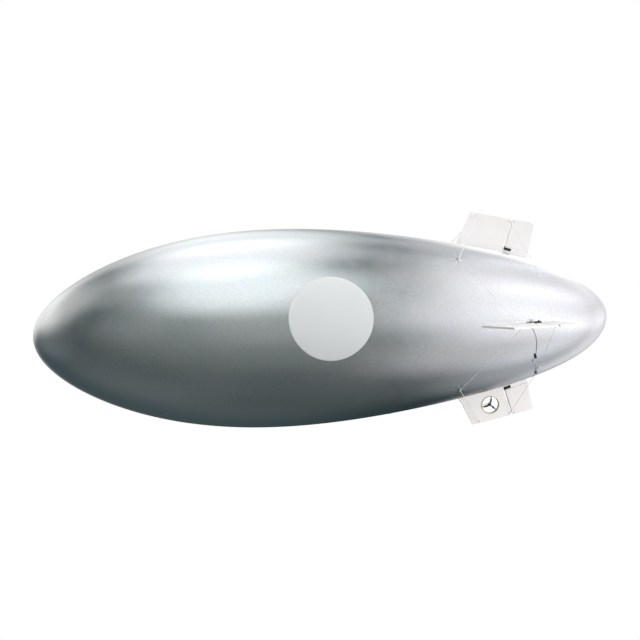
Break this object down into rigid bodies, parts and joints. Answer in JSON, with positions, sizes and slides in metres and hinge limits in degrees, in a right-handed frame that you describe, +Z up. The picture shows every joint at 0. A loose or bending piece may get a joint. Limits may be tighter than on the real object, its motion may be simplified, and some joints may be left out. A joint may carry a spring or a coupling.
{
  "type": "radio-controlled advertising blimp balloon",
  "caption": "Silver helium blimp with a cross of foam board fins, hinged rudders and elevators, servos, bracing cords and a small ducted tail rotor.",
  "frame": {"origin": "the centre of buoyancy, on the envelope's axis, where the gas holds the blimp up", "axes": "+X to the nose, +Y to port, +Z up"},
  "size_m": [3, 1.1334, 1.1334],
  "materials": {
    "film": "metallised silver film",
    "white_plastic": "moulded",
    "panel": "plain white film",
    "hook_tape": "hook tape",
    "foam_board": "foam board",
    "carbon": "pultruded carbon",
    "black_plastic": "moulded",
    "plywood": "varnished thin plywood",
    "motor_can": "satin metal can",
    "cord": "braided white cord",
    "lead": "insulated wire",
    "battery_wrap": "shrink wrap"
  },
  "bodies": {
    "hull": {"envelope": "film", "filler_valve": "white_plastic", "panel_port": "panel", "panel_starboard": "panel", "belly_patch_front": "hook_tape", "belly_patch_rear": "hook_tape", "fin_top": "foam_board", "fin_bottom": "foam_board", "fin_port": "foam_board", "fin_starboard": "foam_board", "hinge_bearing_top": "black_plastic", "hinge_bearing_bottom": "black_plastic", "hinge_bearing_port": "black_plastic", "hinge_bearing_starboard": "black_plastic", "servo_top": "black_plastic", "servo_bottom": "black_plastic", "servo_port": "black_plastic", "servo_starboard": "black_plastic", "rotor_ring": "plywood", "rotor_bracket": "plywood", "rotor_motor": "motor_can", "stay_front_port_top": "cord", "stay_front_port_bottom": "cord", "stay_front_starboard_top": "cord", "stay_front_starboard_bottom": "cord", "stay_rear_port_top": "cord", "stay_rear_port_bottom": "cord", "stay_rear_starboard_top": "cord", "stay_rear_starboard_bottom": "cord", "battery": "battery_wrap", "receiver": "black_plastic", "plug_port_1": "black_plastic", "plug_port_2": "black_plastic", "plug_starboard": "black_plastic", "lead_top": "lead", "lead_port_1": "lead", "lead_port_2": "lead", "lead_port_3": "lead", "lead_bottom": "lead", "lead_starboard_1": "lead", "lead_starboard_2": "lead", "lead_battery": "lead", "lead_rotor": "lead"},
    "top_rudder": {"rudder_top": "foam_board", "torque_rod_top": "carbon"},
    "bottom_rudder": {"rudder_bottom": "foam_board", "torque_rod_bottom": "carbon"},
    "port_elevator": {"elevator_port": "foam_board", "torque_rod_port": "carbon"},
    "starboard_elevator": {"elevator_starboard": "foam_board", "torque_rod_starboard": "carbon"},
    "tail_propeller": {"propeller": "black_plastic"}
  },
  "joints": [
    {"name": "top_rudder_hinge", "type": "hinge", "parent": "hull", "child": "top_rudder", "pos_m": [-1.041, 0, 0.34701], "axis": [-0.2974, 0, 0.9548], "range_deg": [-30, 30]},
    {"name": "bottom_rudder_hinge", "type": "hinge", "parent": "hull", "child": "bottom_rudder", "pos_m": [-1.041, 0, -0.34701], "axis": [-0.2974, 0, -0.9548], "range_deg": [-30, 30]},
    {"name": "port_elevator_hinge", "type": "hinge", "parent": "hull", "child": "port_elevator", "pos_m": [-1.041, 0.34701, 0], "axis": [-0.2974, 0.9548, 0], "range_deg": [-30, 30]},
    {"name": "starboard_elevator_hinge", "type": "hinge", "parent": "hull", "child": "starboard_elevator", "pos_m": [-1.041, -0.34701, 0], "axis": [-0.2974, -0.9548, 0], "range_deg": [-30, 30]},
    {"name": "tail_propeller_spin", "type": "hinge", "parent": "hull", "child": "tail_propeller", "pos_m": [-0.97154, 0, -0.46029], "axis": [0, 1, 0], "continuous": true}
  ]
}
